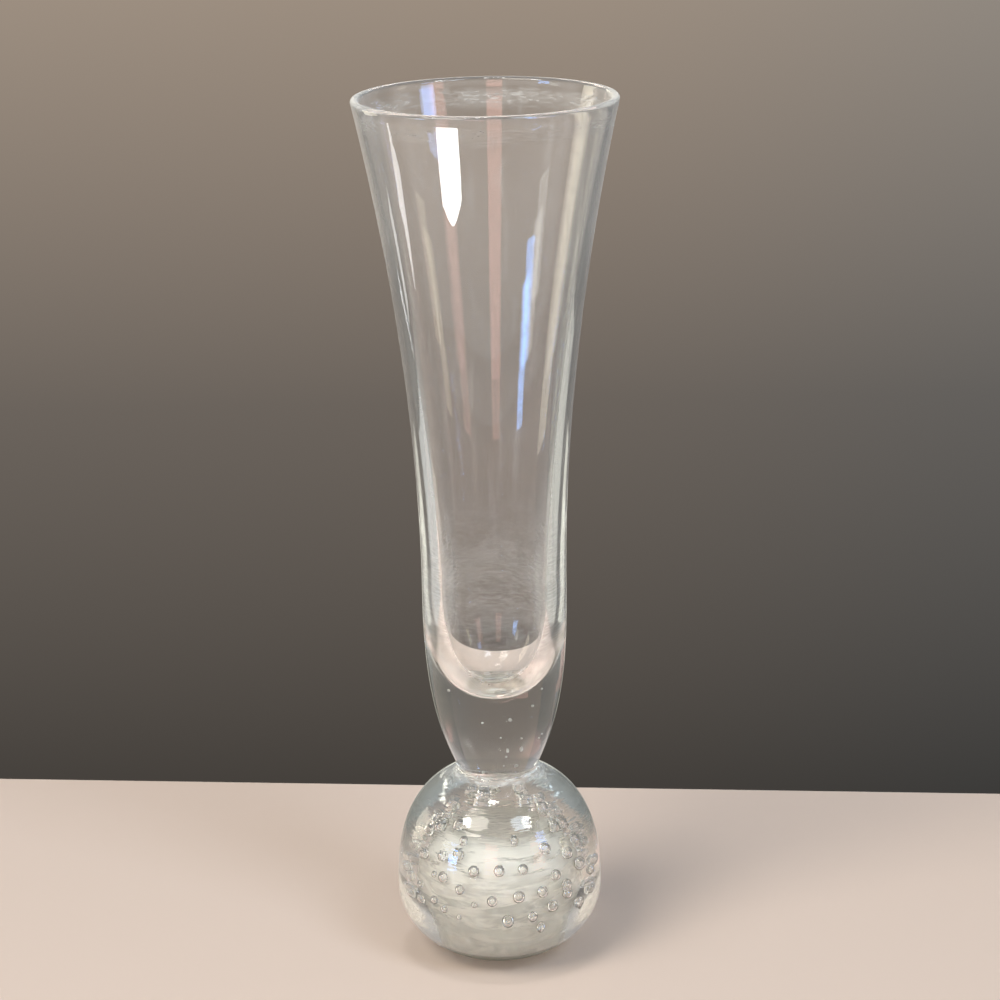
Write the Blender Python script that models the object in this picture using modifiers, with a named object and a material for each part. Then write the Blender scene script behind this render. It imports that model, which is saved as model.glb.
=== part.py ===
"""Bud vase of clear glass: a flared body hot-joined to a solid ball full of trapped bubbles.

Metres, +Z up. The vase stands on its flat base at z = 0, on the Z axis.
"""
import math

import bmesh
import bpy
from mathutils import Matrix, Vector

# Clearance between two pieces that touch
GAP = 0.0003

# Ball
BALL_RADIUS = 0.02965
EQUATOR_HEIGHT = 0.0212
CROWN_RISE = 0.0358
CROWN_ROUNDNESS = 2.42
UNDERSIDE_ROUNDNESS = 2.1
BASE_RADIUS = 0.0125
BASE_BEVEL = 0.0005

# Waist, where the foot of the body is joined to the crown of the ball
WAIST_RADIUS = 0.0112
COLLAR_HEIGHT = 0.0004
COLLAR_FILLET = 0.0022
COLLAR_WALL = 0.0034

# Core inside the ball
CORE_RADIUS = 0.0175
BASE_THICKNESS = 0.0042
CORE_NECK_START = math.radians(58)
CORE_NECK_FILLET = 0.004

# Rings of bubbles between the core and its casing, each turned a little by the working of the glass
BUBBLES_PER_RING = 16
LOWEST_RING_LATITUDE = math.radians(-17)
RING_PITCH = math.radians(22.5)
RING_TURNS = (math.radians(6), math.radians(-6.5), math.radians(-1), math.radians(10))
BUBBLE_WIDTH = 0.0029
BUBBLE_HEIGHT = 0.0034
BUBBLE_DEPTH = 0.0029

# Flared body
BODY_LENGTH = 0.1941
RIM_RADIUS = 0.0367
COLUMN_RADIUS = 0.0206
FOOT_LENGTH = 0.0573
FOOT_SWELL = 3.0
FLARE_POWER = 1.87
LIP_THICKNESS = 0.0021
COLUMN_WALL = 0.0054
WALL_TAPER = 1.6
FLOOR_THICKNESS = 0.0242
BORE_END_LENGTH = 0.032
BORE_END_ROUNDNESS = 2.42

# Fineness of the turned shapes and of the bubbles
TURN_STEPS = 40
SIDE_POINTS = 12
HOLLOW_POINTS = 8
BALL_POINTS = 9
BEND_POINTS = 3
LIP_POINTS = 5
BUBBLE_SIDES = 8
BUBBLE_BANDS = 5


def superellipse(angle, across, along, roundness):
    """A point at an angle on a rounded quarter outline, as (across, along)."""
    power = 2 / roundness
    return across * math.cos(angle) ** power, along * math.sin(angle) ** power


def fraction_steps(count):
    """Evenly spaced fractions from 0 to 1, both included."""
    return [i / count for i in range(count + 1)]


def crown_height(radius):
    """Height of the ball's crown above the table at a radius."""
    rise = (1 - (radius / BALL_RADIUS) ** CROWN_ROUNDNESS) ** (1 / CROWN_ROUNDNESS)
    return EQUATOR_HEIGHT + CROWN_RISE * rise


JOINT_HEIGHT = crown_height(WAIST_RADIUS) + COLLAR_HEIGHT
CORE_CENTRE = BASE_THICKNESS + GAP + CORE_RADIUS
CORE_NECK_RADIUS = WAIST_RADIUS - COLLAR_WALL - GAP


def collar_points():
    """Outer side of the collar, a small hollow curve from the joint down to the crown."""
    start = Vector((WAIST_RADIUS, JOINT_HEIGHT))
    bend = Vector((WAIST_RADIUS, crown_height(WAIST_RADIUS)))
    end_radius = WAIST_RADIUS + COLLAR_FILLET
    end = Vector((end_radius, crown_height(end_radius)))
    points = []
    for t in fraction_steps(BEND_POINTS):
        point = start * (1 - t) ** 2 + bend * 2 * t * (1 - t) + end * t ** 2
        points.append(tuple(point))
    return points


def crown_points():
    """Ball surface from the collar down to the equator."""
    start_share = (WAIST_RADIUS + COLLAR_FILLET) / BALL_RADIUS
    start_angle = math.acos(start_share ** (CROWN_ROUNDNESS / 2))
    points = []
    for t in fraction_steps(BALL_POINTS)[1:]:
        radius, rise = superellipse(start_angle * (1 - t), BALL_RADIUS, CROWN_RISE, CROWN_ROUNDNESS)
        points.append((radius, EQUATOR_HEIGHT + rise))
    return points


def underside_points():
    """Ball surface from the equator down to the ground base, with the base's bevel."""
    share = (BASE_RADIUS / BALL_RADIUS) ** UNDERSIDE_ROUNDNESS
    drop = (EQUATOR_HEIGHT - BASE_BEVEL) / (1 - share) ** (1 / UNDERSIDE_ROUNDNESS)
    end_angle = math.acos((BASE_RADIUS / BALL_RADIUS) ** (UNDERSIDE_ROUNDNESS / 2))
    points = []
    for t in fraction_steps(BALL_POINTS)[1:]:
        radius, fall = superellipse(end_angle * t, BALL_RADIUS, drop, UNDERSIDE_ROUNDNESS)
        points.append((radius, EQUATOR_HEIGHT - fall))
    points.append((BASE_RADIUS - BASE_BEVEL, 0.0))
    points.append((0.0, 0.0))
    return points


def core_points(grown):
    """Outline of the core from its bottom up to its neck's top, grown by a clearance."""
    radius = CORE_RADIUS + grown
    neck_radius = CORE_NECK_RADIUS + grown
    points = []
    for t in fraction_steps(HOLLOW_POINTS):
        angle = -math.pi / 2 + t * (CORE_NECK_START + math.pi / 2)
        points.append((radius * math.cos(angle), CORE_CENTRE + radius * math.sin(angle)))
    shoulder = Vector(points[-1])
    slope = Vector((-math.sin(CORE_NECK_START), math.cos(CORE_NECK_START)))
    reach = (shoulder.x - neck_radius) / -slope.x
    bend = shoulder + slope * reach
    neck = Vector((neck_radius, bend.y + CORE_NECK_FILLET))
    for t in fraction_steps(BEND_POINTS)[1:]:
        point = shoulder * (1 - t) ** 2 + bend * 2 * t * (1 - t) + neck * t ** 2
        points.append(tuple(point))
    points.append((neck_radius, JOINT_HEIGHT))
    points[0] = (0.0, points[0][1])
    return points


def outer_radius(height):
    """Outer radius of the body at a height above the joint."""
    if height < FOOT_LENGTH:
        hollow = (1 - height / FOOT_LENGTH) ** FOOT_SWELL
        return COLUMN_RADIUS - (COLUMN_RADIUS - WAIST_RADIUS) * hollow
    return COLUMN_RADIUS + (RIM_RADIUS - COLUMN_RADIUS) * flare_share(height) ** FLARE_POWER


def flare_share(height):
    """How far up the flare a height above the joint lies, from 0 to 1 at the lip."""
    top = BODY_LENGTH - LIP_THICKNESS / 2
    return min(max(height - FOOT_LENGTH, 0.0) / (top - FOOT_LENGTH), 1.0)


def wall_thickness(height):
    """Wall of the body at a height above the joint, thinner towards the lip."""
    thinned = (1 - flare_share(height)) ** WALL_TAPER
    return LIP_THICKNESS + (COLUMN_WALL - LIP_THICKNESS) * thinned


def bore_points():
    """Inner side of the body from the middle of its rounded floor up to the lip."""
    bore_start = FLOOR_THICKNESS + BORE_END_LENGTH
    bore_radius = outer_radius(bore_start) - wall_thickness(bore_start)
    lip_centre = BODY_LENGTH - LIP_THICKNESS / 2
    points = []
    for t in fraction_steps(HOLLOW_POINTS):
        angle = math.pi / 2 * (1 - t)
        radius, fall = superellipse(angle, bore_radius, BORE_END_LENGTH, BORE_END_ROUNDNESS)
        points.append((radius, bore_start - fall))
    for t in fraction_steps(HOLLOW_POINTS)[1:]:
        height = bore_start + (lip_centre - bore_start) * t
        points.append((outer_radius(height) - wall_thickness(height), height))
    points[0] = (0.0, FLOOR_THICKNESS)
    return points


def lip_points():
    """Round fire-polished lip, from inside to outside over the top."""
    half = LIP_THICKNESS / 2
    centre = Vector((RIM_RADIUS - half, BODY_LENGTH - half))
    points = []
    for t in fraction_steps(LIP_POINTS)[1:-1]:
        angle = math.pi * (1 - t)
        points.append((centre.x + half * math.cos(angle), centre.y + half * math.sin(angle)))
    return points


def body_side_points():
    """Outer side of the body from the lip down to the joint."""
    lip_centre = BODY_LENGTH - LIP_THICKNESS / 2
    points = []
    for t in fraction_steps(SIDE_POINTS):
        height = lip_centre + (FOOT_LENGTH - lip_centre) * t
        points.append((outer_radius(height), height))
    for t in fraction_steps(SIDE_POINTS)[1:]:
        height = FOOT_LENGTH + (GAP - FOOT_LENGTH) * t
        points.append((outer_radius(height), height))
    points.append((0.0, GAP))
    return points


def body_profile():
    """Half section of the body, up its bore, over the lip and down its outer side."""
    points = bore_points() + lip_points() + body_side_points()
    return [(radius, JOINT_HEIGHT + height) for radius, height in points]


def casing_profile():
    """Half section of the casing, up the hollow that holds the core and down the ball."""
    return core_points(GAP) + collar_points() + crown_points() + underside_points()


def core_profile():
    """Half section of the core, from the top of its neck down its outer side."""
    return [(0.0, JOINT_HEIGHT)] + core_points(0.0)[::-1]


def new_collection(name):
    """A new collection in the scene."""
    collection = bpy.data.collections.new(name)
    bpy.context.scene.collection.children.link(collection)
    return collection


def glass_material(name, colour):
    """Clear glass of one faint tint."""
    material = bpy.data.materials.new(name)
    material.use_nodes = True
    shader = material.node_tree.nodes["Principled BSDF"]
    shader.inputs["Base Color"].default_value = (*colour, 1.0)
    shader.inputs["Metallic"].default_value = 0.0
    shader.inputs["Roughness"].default_value = 0.02
    shader.inputs["IOR"].default_value = 1.5
    shader.inputs["Transmission Weight"].default_value = 1.0
    return material


def turned_piece(name, profile, material, collection):
    """A piece turned round the Z axis from its half section."""
    mesh = bpy.data.meshes.new(name)
    vertices = [(radius, 0.0, height) for radius, height in profile]
    edges = [(i, i + 1) for i in range(len(profile) - 1)]
    mesh.from_pydata(vertices, edges, [])
    piece = bpy.data.objects.new(name, mesh)
    collection.objects.link(piece)
    turn = piece.modifiers.new("Turn", "SCREW")
    turn.axis = "Z"
    turn.angle = math.tau
    turn.steps = TURN_STEPS
    turn.render_steps = TURN_STEPS
    turn.use_merge_vertices = True
    turn.merge_threshold = 0.00001
    turn.use_smooth_shade = True
    mesh.materials.append(material)
    return piece


def bubble_places():
    """Place and turn of every bubble, in rings on the face between core and casing."""
    radius = CORE_RADIUS + GAP / 2
    places = []
    for ring, ring_turn in enumerate(RING_TURNS):
        latitude = LOWEST_RING_LATITUDE + ring * RING_PITCH
        for i in range(BUBBLES_PER_RING):
            longitude = math.tau * i / BUBBLES_PER_RING + ring_turn
            turn = Matrix.Rotation(longitude, 4, "Z") @ Matrix.Rotation(math.pi / 2 - latitude, 4, "Y")
            lift = Matrix.Translation((0, 0, CORE_CENTRE))
            places.append(lift @ turn @ Matrix.Translation((0, 0, radius)))
    return places


def bubble_cutter(collection):
    """All the bubbles as one cutter, each an ovoid with its poles across the joint face."""
    mesh = bpy.data.meshes.new("bubble_cutter")
    form = bmesh.new()
    size = Matrix.Diagonal((BUBBLE_HEIGHT / 2, BUBBLE_WIDTH / 2, BUBBLE_DEPTH / 2, 1.0))
    for place in bubble_places():
        bmesh.ops.create_uvsphere(
            form,
            u_segments=BUBBLE_SIDES,
            v_segments=BUBBLE_BANDS,
            radius=1.0,
            matrix=place @ size,
        )
    form.to_mesh(mesh)
    form.free()
    cutter = bpy.data.objects.new("bubble_cutter", mesh)
    cutter.display_type = "WIRE"
    cutter.hide_render = True
    collection.objects.link(cutter)
    return cutter


def press_bubbles(piece, cutter):
    """Cut the bubbles' share out of a piece."""
    cut = piece.modifiers.new("Bubbles", "BOOLEAN")
    cut.operation = "DIFFERENCE"
    cut.solver = "EXACT"
    cut.object = cutter


def main():
    """Build the vase."""
    for item in list(bpy.data.objects):
        bpy.data.objects.remove(item)
    collection = new_collection("bud_vase")
    cutters = new_collection("bud_vase_cutters")
    vase = bpy.data.objects.new("bud_vase", None)
    collection.objects.link(vase)

    body_glass = glass_material("body_glass", (0.93, 0.96, 0.94))
    casing_glass = glass_material("casing_glass", (0.91, 0.95, 0.93))
    core_glass = glass_material("core_glass", (0.94, 0.96, 0.93))

    body = turned_piece("flared_body", body_profile(), body_glass, collection)
    casing = turned_piece("ball_casing", casing_profile(), casing_glass, collection)
    core = turned_piece("bubble_core", core_profile(), core_glass, collection)

    cutter = bubble_cutter(cutters)
    for piece in (core, casing):
        press_bubbles(piece, cutter)
    for piece in (body, casing, core):
        piece.parent = vase


main()
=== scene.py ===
"""Bud vase of clear glass, a flared body hot-joined to a ball full of bubbles, on a pale table.

Laid out as an add-on: each operator makes one part of the glass, or the stage. Lengths are in metres,
and the glass stands where the packed part stands.
"""

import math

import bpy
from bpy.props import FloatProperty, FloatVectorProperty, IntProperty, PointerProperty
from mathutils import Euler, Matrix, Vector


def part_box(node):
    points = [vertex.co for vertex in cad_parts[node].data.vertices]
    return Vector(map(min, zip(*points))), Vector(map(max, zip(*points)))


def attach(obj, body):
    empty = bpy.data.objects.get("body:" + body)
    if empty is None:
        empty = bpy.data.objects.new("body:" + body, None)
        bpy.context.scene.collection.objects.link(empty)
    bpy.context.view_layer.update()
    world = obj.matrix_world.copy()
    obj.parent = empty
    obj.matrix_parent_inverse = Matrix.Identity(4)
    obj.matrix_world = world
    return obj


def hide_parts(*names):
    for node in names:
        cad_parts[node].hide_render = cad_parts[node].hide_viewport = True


bl_info = {
    "name": "Bud Vase",
    "version": (1, 0, 0),
    "blender": (4, 5, 0),
    "location": "3D View > Sidebar > Bud Vase",
    "description": "Makes a clear glass bud vase with a bubble ball, and the table and light for it",
    "category": "Add Mesh",
}

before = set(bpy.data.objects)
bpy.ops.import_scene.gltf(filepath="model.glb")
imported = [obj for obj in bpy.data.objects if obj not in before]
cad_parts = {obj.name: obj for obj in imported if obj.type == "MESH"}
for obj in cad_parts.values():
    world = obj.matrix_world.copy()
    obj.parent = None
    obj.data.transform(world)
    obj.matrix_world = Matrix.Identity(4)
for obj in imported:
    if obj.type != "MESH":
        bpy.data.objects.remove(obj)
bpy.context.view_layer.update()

BODY_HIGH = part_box("flared_body")[1]
BALL_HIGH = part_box("ball_casing")[1]
CORE_LOW, CORE_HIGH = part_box("bubble_core")

# Sizes that stay the same whatever the user sets
BASE_BEVEL = 0.0005
MERGE_DISTANCE = 0.000001
FLOOR_DROP = 0.0003
LOW_STRIP_LIFT = 0.001
# Keeps the skin's unevenness small close to the axis
AXIS_GUARD = 0.004

# Fineness of the turned glass and of the bubbles
TURN_STEPS = 192
UNDERSIDE_ROWS = 34
CROWN_ROWS = 40
COLLAR_ROWS = 14
FOOT_ROWS = 60
FLARE_ROWS = 70
LIP_ROWS = 14
BORE_ROWS = 70
BORE_END_ROWS = 40
BUBBLE_SIDES = 22
BUBBLE_BANDS = 14
SEED_SIDES = 10
SEED_BANDS = 7
VEIL_SIDES = 72
VEIL_BANDS = 40
VEIL_UNEVENNESS = 0.0006
# Longitude in degrees from which a bubble lies on the far side
FAR_FROM = 106.0
# Dullness of a bubble on the far side, and of a seed
FAR_FROST = 0.1
SEED_FROST = 0.66
# Reflections after which a ray goes straight through the glass, and after which a strip shows
CLEAR_AFTER = 2.5
STRIP_SHOWS_AFTER = 0.5

# Zones of the glass by height: the stretch over which each sets in, then the one over which it ends
LOW_BORE = ((0.091, 0.101), (0.110, 0.142))
UNDER_LIP = ((0.2405, 0.2435), (0.2455, 0.248))
COLLAR = ((0.0543, 0.0550), (0.0560, 0.0580))
FOOT = ((0.0565, 0.060), (0.085, 0.095))
FOOT_ROOT = ((0.0560, 0.0575), (0.060, 0.071))
BORE_END_BELT = ((0.066, 0.074), (0.096, 0.104))
SEAM_SHOULDER = ((0.025, 0.029), (0.0335, 0.0365))
# Heights over which a zone ends that starts at the table, or sets in and goes on to the top
GROUND_BASE_ENDS = (0.0001, 0.0004)
SOLE_ENDS = (0.003, 0.009)
SEAM_BELLY_ENDS = (0.025, 0.029)
UPPER_BALL_STARTS = (0.031, 0.036)
CROWN_STARTS = (0.034, 0.042)
SEAM_CROWN_STARTS = (0.0345, 0.037)
BALL_ENDS = (0.052, 0.0545)
BODY_STARTS = (0.055, 0.06)
COLUMN_STARTS = (0.11, 0.14)
FLARE_STARTS = (0.195, 0.22)

# Stretches over which residue or painted shade sets in as the skin is seen more aslant
EDGE_ASLANT = (0.2, 0.55)
BALL_ASLANT = (0.3, 0.7)
RIM_ASLANT = (0.3, 0.85)
SOLE_ASLANT = (0.5, 0.8)

# Depth and strength of the relief, and its share on body, crown and ground base
RELIEF_DEPTH = 0.0002
RELIEF_STRENGTH = 0.3
BODY_RELIEF = 0.1
CROWN_RELIEF = 5.0
BASE_RELIEF = 2.0
BASE_ROUGHNESS = 0.15
GRAIN_ROUGHNESS = 0.2
# Relief of the skin as stretch along the axes, scale and detail of its noise
BODY_LINES = ((1.0, 1.0, 0.06), 160.0, 2.0)
BALL_STRIAE = ((0.16, 0.16, 1.0), 420.0, 3.0)
BASE_GRAIN = ((1.0, 1.0, 1.0), 900.0, 4.0)
# Patterns of residue and wear, with the values of the noise between which each sets in
CLOUDS = ((1.0, 1.0, 0.5), 60.0, 3.0, 0.3, 0.7)
SCRATCHES = ((1.0, 1.0, 6.0), 380.0, 5.0, 0.4, 0.75)
SMUDGES = ((1.0, 1.0, 2.2), 45.0, 4.0, 0.4, 0.7)
DRAW_LINES = ((1.0, 1.0, 0.015), 300.0, 3.0, 0.54, 0.7)
BROAD_STREAKS = ((1.0, 1.0, 0.8), 80.0, 2.0, 0.3, 0.7)

# Share of the glass that residue and fine wear cover in each zone
LEAST_BORE_COVER = 0.01
BORE_COVER = 0.15
LOW_BORE_COVER = 0.8
CLOUD_COVER = 0.3
LEAST_SKIN_COVER = 0.004
FLARE_COVER = 0.22
COLUMN_COVER = 0.08
FOOT_SPARED = 0.7
ROOT_COVER = 0.05
COLLAR_COVER = 0.14
COLLAR_SCRATCHES = 0.4
SCRATCH_SHARE = 0.6
WIPED_ELSEWHERE = 0.04
DRAWN_COVER = 0.08
LIP_COVER = 0.05
# Share that painted shade covers where the skin is seen aslant: the ball and its crown, a painted
# contact shadow at the sole, and the belt round the bore's end
BALL_SHADE = 0.20
UPPER_BALL_SHADE = 0.26
SOLE_SHADE = 0.8
BELT_SHADE = 0.38
# Share of the seam that its seeds cover: pale streaks partly as painted light, grey under the crown
# as painted shade
SEAM_CROWN_COVER = 0.35
STREAK_COVER = 0.45
BROAD_COVER = 0.2

# Bubbles of the ball as (latitude, longitude, size): longitude 0 faces the front, 90 the right
FRONT_BUBBLES = (
    (25.8, -84.7, 0.9), (33.3, -60.1, 0.95), (39.1, -43.3, 1.0), (27.7, -23.4, 1.1),
    (29.0, -0.4, 1.0), (28.9, 21.3, 1.0), (53.9, 19.4, 0.9), (40.5, 51.1, 1.0),
    (29.0, 73.5, 1.0), (14.7, 84.3, 1.1), (16.9, 51.0, 1.0), (4.8, 60.8, 1.1),
    (16.9, -51.3, 1.0), (16.3, -61.7, 0.6), (10.3, -33.8, 1.0), (1.6, -78.0, 0.7),
    (-12.2, -78.3, 0.9), (-6.2, -59.3, 0.8), (-11.7, -49.1, 0.7), (-16.1, -35.2, 0.5),
    (-1.6, -21.0, 0.6), (2.7, -6.4, 1.0), (5.7, 15.2, 1.1), (6.3, 35.9, 1.1),
    (-9.5, 45.3, 1.1), (-17.7, 80.3, 1.0), (-2.7, 61.4, 1.0), (-16.6, 6.2, 1.1),
    (-14.9, 27.1, 1.0), (-25.8, 36.0, 0.8), (59.1, -71.0, 0.9), (50.6, -45.0, 0.7),
    (65.1, 53.9, 0.8), (48.9, 85.5, 0.9), (48.0, -95.0, 1.0), (38.0, -104.0, 1.0),
    (58.0, 112.0, 0.9), (44.0, 101.0, 1.0), (31.0, 97.0, 0.9),
)
# Bubbles of the far side that show through the crown
FAR_BUBBLES = (
    (17.0, -160.0, 1.1), (7.5, -164.0, 1.0), (30.0, -171.0, 1.1), (16.0, -172.0, 1.2),
    (27.0, 165.0, 1.0), (16.0, 167.0, 1.0), (17.0, 152.0, 1.1), (9.0, 146.0, 1.0),
    (24.0, -146.0, 1.1), (29.0, 146.0, 1.0),
)
# Rings that go on round the back: latitude, first longitude, last longitude, count, size
BACK_RINGS = (
    (52.0, 135.0, 255.0, 6, 0.9), (22.0, 112.0, 132.0, 2, 0.9), (22.0, 228.0, 248.0, 2, 0.9),
    (1.0, 103.0, 263.0, 9, 0.9), (-17.0, 110.0, 255.0, 8, 0.9),
)

# Seeds in the foot as across, depth and height in millimetres, how far each is drawn out, and size
SEEDS = (
    (-10.6, -5.0, 82.6, 1.0, 1.2), (9.9, -4.0, 82.5, 1.0, 1.0), (7.4, -3.0, 77.7, 1.1, 1.0),
    (2.9, -6.0, 74.6, 1.1, 1.5), (-2.3, 4.0, 72.2, 1.3, 0.6), (5.1, -4.0, 68.4, 1.0, 0.9),
    (8.4, -1.0, 67.2, 1.1, 0.9), (7.5, 3.0, 67.9, 1.2, 0.6), (0.6, 3.0, 68.0, 1.2, 0.5),
    (5.3, -5.0, 65.2, 1.9, 1.2), (2.0, -2.0, 64.7, 2.6, 0.8), (1.5, 1.0, 62.5, 1.8, 0.6),
    (3.9, -3.0, 59.7, 1.2, 1.3), (1.0, 2.0, 59.6, 1.1, 0.5), (-3.1, -4.0, 57.8, 1.4, 1.2),
)


def length(name, default, description):
    """A length that the user can set."""
    return FloatProperty(
        name=name, description=description, default=default, min=0.0, unit="LENGTH", precision=5
    )


def number(name, default, description):
    """A bare number that the user can set."""
    return FloatProperty(name=name, description=description, default=default, min=0.0)


def angle(name, default, description):
    """An angle that the user can set, given in degrees."""
    return FloatProperty(
        name=name, description=description, default=math.radians(default), subtype="ANGLE"
    )


def colour(name, default, description):
    """A colour that the user can set."""
    return FloatVectorProperty(
        name=name, description=description, default=default, size=3, min=0.0, max=1.0, subtype="COLOR"
    )


class VaseShape(bpy.types.PropertyGroup):
    """Sizes of the turned glass."""

    ball_radius: length("Ball radius", BALL_HIGH.x, "Radius of the ball at its equator")
    equator_height: length("Equator height", 0.0212, "Height of the ball's widest ring")
    crown_rise: length("Crown rise", 0.0358, "Rise of the ball's crown above its equator")
    crown_roundness: number("Crown roundness", 2.42, "2 is an ellipse, more is fuller")
    underside_roundness: number("Underside roundness", 2.1, "2 is an ellipse, more is fuller")
    base_radius: length("Base radius", 0.0125, "Radius of the ground base")
    waist_radius: length("Waist radius", 0.0112, "Radius where the body meets the ball")
    collar_fillet: length("Collar fillet", 0.0024, "Reach of the hollow curve round the joint")
    joint_height: length("Joint height", BALL_HIGH.z, "Height of the joint above the table")
    top_height: length("Top height", BODY_HIGH.z, "Height of the lip above the table")
    rim_radius: length("Rim radius", BODY_HIGH.x, "Outer radius of the lip")
    column_radius: length("Column radius", 0.0206, "Outer radius where the flare starts")
    foot_length: length("Foot length", 0.0573, "Length of the body's swelling foot")
    foot_swell: number("Foot swell", 3.0, "How soon the foot swells above the joint")
    flare_power: number("Flare power", 1.87, "How late the flare opens towards the lip")
    lip_thickness: length("Lip thickness", 0.0021, "Thickness of the fire-polished lip")
    column_wall: length("Column wall", 0.0054, "Wall of the body above its foot")
    wall_taper: number("Wall taper", 1.6, "How soon the wall thins towards the lip")
    floor_thickness: length("Bore floor", 0.0242, "Solid glass between the joint and the bore")
    bore_end_length: length("Bore end", 0.032, "Length of the bore's rounded end")
    bore_end_roundness: number("Bore end roundness", 2.42, "2 is an ellipse, more is fuller")
    unevenness: length("Unevenness", 0.00016, "How far the hand-worked surface falls in and out")


class BubbleLayer(bpy.types.PropertyGroup):
    """The bubbles trapped in the ball, and the seam beneath them."""

    radius: length("Layer radius", CORE_HIGH.x + 0.00015, "Radius of the layer of bubbles")
    centre: length("Layer centre", CORE_LOW.z + CORE_HIGH.x, "Height of the layer's centre")
    width: length("Width", 0.0026, "Width of a bubble round the ball")
    height: length("Height", 0.0030, "Height of a bubble up the ball")
    depth: length("Depth", 0.0026, "Depth of a bubble into the ball")
    spread: number("Spread", 0.08, "Share by which like bubbles differ in size")
    veil_radius: length("Veil radius", 0.0159, "Radius of the seedy seam where core met casing")
    seed_size: length("Seed size", 0.0007, "Width of the stray seeds in the foot")
    seed: IntProperty(name="Seed", description="Start of the random draw", default=4)


class GlassLook(bpy.types.PropertyGroup):
    """Finish of the glass, with its painted light and painted shade."""

    ior: number("IOR", 1.5, "Refractive index of the glass")
    tint: colour("Tint", (0.42, 0.92, 0.62), "Colour that thick glass takes on")
    density: number("Density", 1.0, "How soon thick glass takes on its tint")
    residue: colour("Residue", (0.86, 0.88, 0.86), "Colour of dried residue and fine wear")
    # The seeds colour is partly painted light in the ball's seam; the crown colour is painted shade
    # on the seam under the crown
    seeds: colour("Seeds", (1.0, 0.98, 0.90), "Colour of the fine seeds in the ball's seam")
    crown: colour("Crown seeds", (0.5, 0.47, 0.44), "Colour of the seeds under the ball's crown")
    # Shade is the colour of painted shade, and rims is its strength round the bubbles' rims
    shade: colour("Shade", (0.16, 0.17, 0.14), "Colour of bubbles' rims and of dim glass seen aslant")
    rims: number("Rims", 0.75, "Strength of the bubbles' dark rims")
    bore_haze: number("Bore haze", 0.5, "Residue inside the body, seen aslant")
    skin_haze: number("Skin haze", 0.25, "Fine wear outside, seen aslant")
    wipes: number("Wipes", 0.4, "Streaks of residue low in the bore and under the lip")
    # Veil sets how much of the seam's seeds, with their painted light and shade, shows
    veil: number("Veil", 1.0, "Fine seeds in the seam inside the ball")
    striae: number("Striae", 0.9, "Strength of the fine streaks round the ball")


class StageLook(bpy.types.PropertyGroup):
    """Table, backdrop and light."""

    table: colour("Table", (0.645, 0.54, 0.47), "Colour of the pale table top")
    back_edge: length("Back edge", 0.1243, "How far behind the vase the table ends")
    edge_turn: angle("Edge turn", -5.13, "Turn of the table's back edge")
    backdrop_foot: colour("Backdrop foot", (0.052, 0.046, 0.040), "Backdrop below the table's edge")
    backdrop_middle: colour("Backdrop middle", (0.147, 0.126, 0.108), "Backdrop a little higher")
    backdrop_top: colour("Backdrop top", (0.335, 0.272, 0.218), "Backdrop at the lip's height")
    backdrop_side: colour("Backdrop side", (0.84, 0.92, 1.0), "Cooler share of light at its right")
    backdrop_head: colour("Backdrop head", (0.48, 0.44, 0.38), "Backdrop above the view")
    room_low: colour("Low room", (0.98, 0.97, 0.95), "Pale room at the height of the vase")
    room_high: colour("High room", (0.27, 0.27, 0.28), "Dimmer room and ceiling above it")
    room_side: colour("Sides of the room", (0.06, 0.06, 0.06), "Dim room beside the backdrop")
    room_floor: colour("Floor beside", (0.20, 0.19, 0.17), "Pale floor below the table's sides")
    room_light: number("Room light", 1.3, "Brightness of the room's own light")
    camera_height: length("Camera height", 0.3737, "Height of the camera above the table")
    camera_distance: length("Camera distance", 0.8098, "Distance from the camera to the vase's axis")
    camera_side: length("Camera side", 0.0021, "How far the camera stands to the right")
    camera_pitch: angle("Camera pitch", 16.37, "How far the camera looks down")
    camera_roll: angle("Camera roll", -1.06, "Roll of the camera")
    camera_lens: number("Camera lens", 108.0, "Focal length in millimetres on a 36 mm sensor")


def math_method(operation, reflected=False):
    """A method that adds the Math node for one operation on two terms or numbers."""

    def method(self, other):
        numbers = (other, self) if reflected else (self, other)
        return self.desk.maths(operation, *numbers)

    return method


class Term:
    """A socket of a node tree that can stand in sums."""

    def __init__(self, desk, socket):
        self.desk = desk
        self.socket = socket

    __add__ = math_method("ADD")
    __radd__ = math_method("ADD", reflected=True)
    __sub__ = math_method("SUBTRACT")
    __rsub__ = math_method("SUBTRACT", reflected=True)
    __mul__ = math_method("MULTIPLY")
    __rmul__ = math_method("MULTIPLY", reflected=True)
    __truediv__ = math_method("DIVIDE")
    __mod__ = math_method("FLOORED_MODULO")
    __pow__ = math_method("POWER")
    __gt__ = math_method("GREATER_THAN")
    __lt__ = math_method("LESS_THAN")


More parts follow.
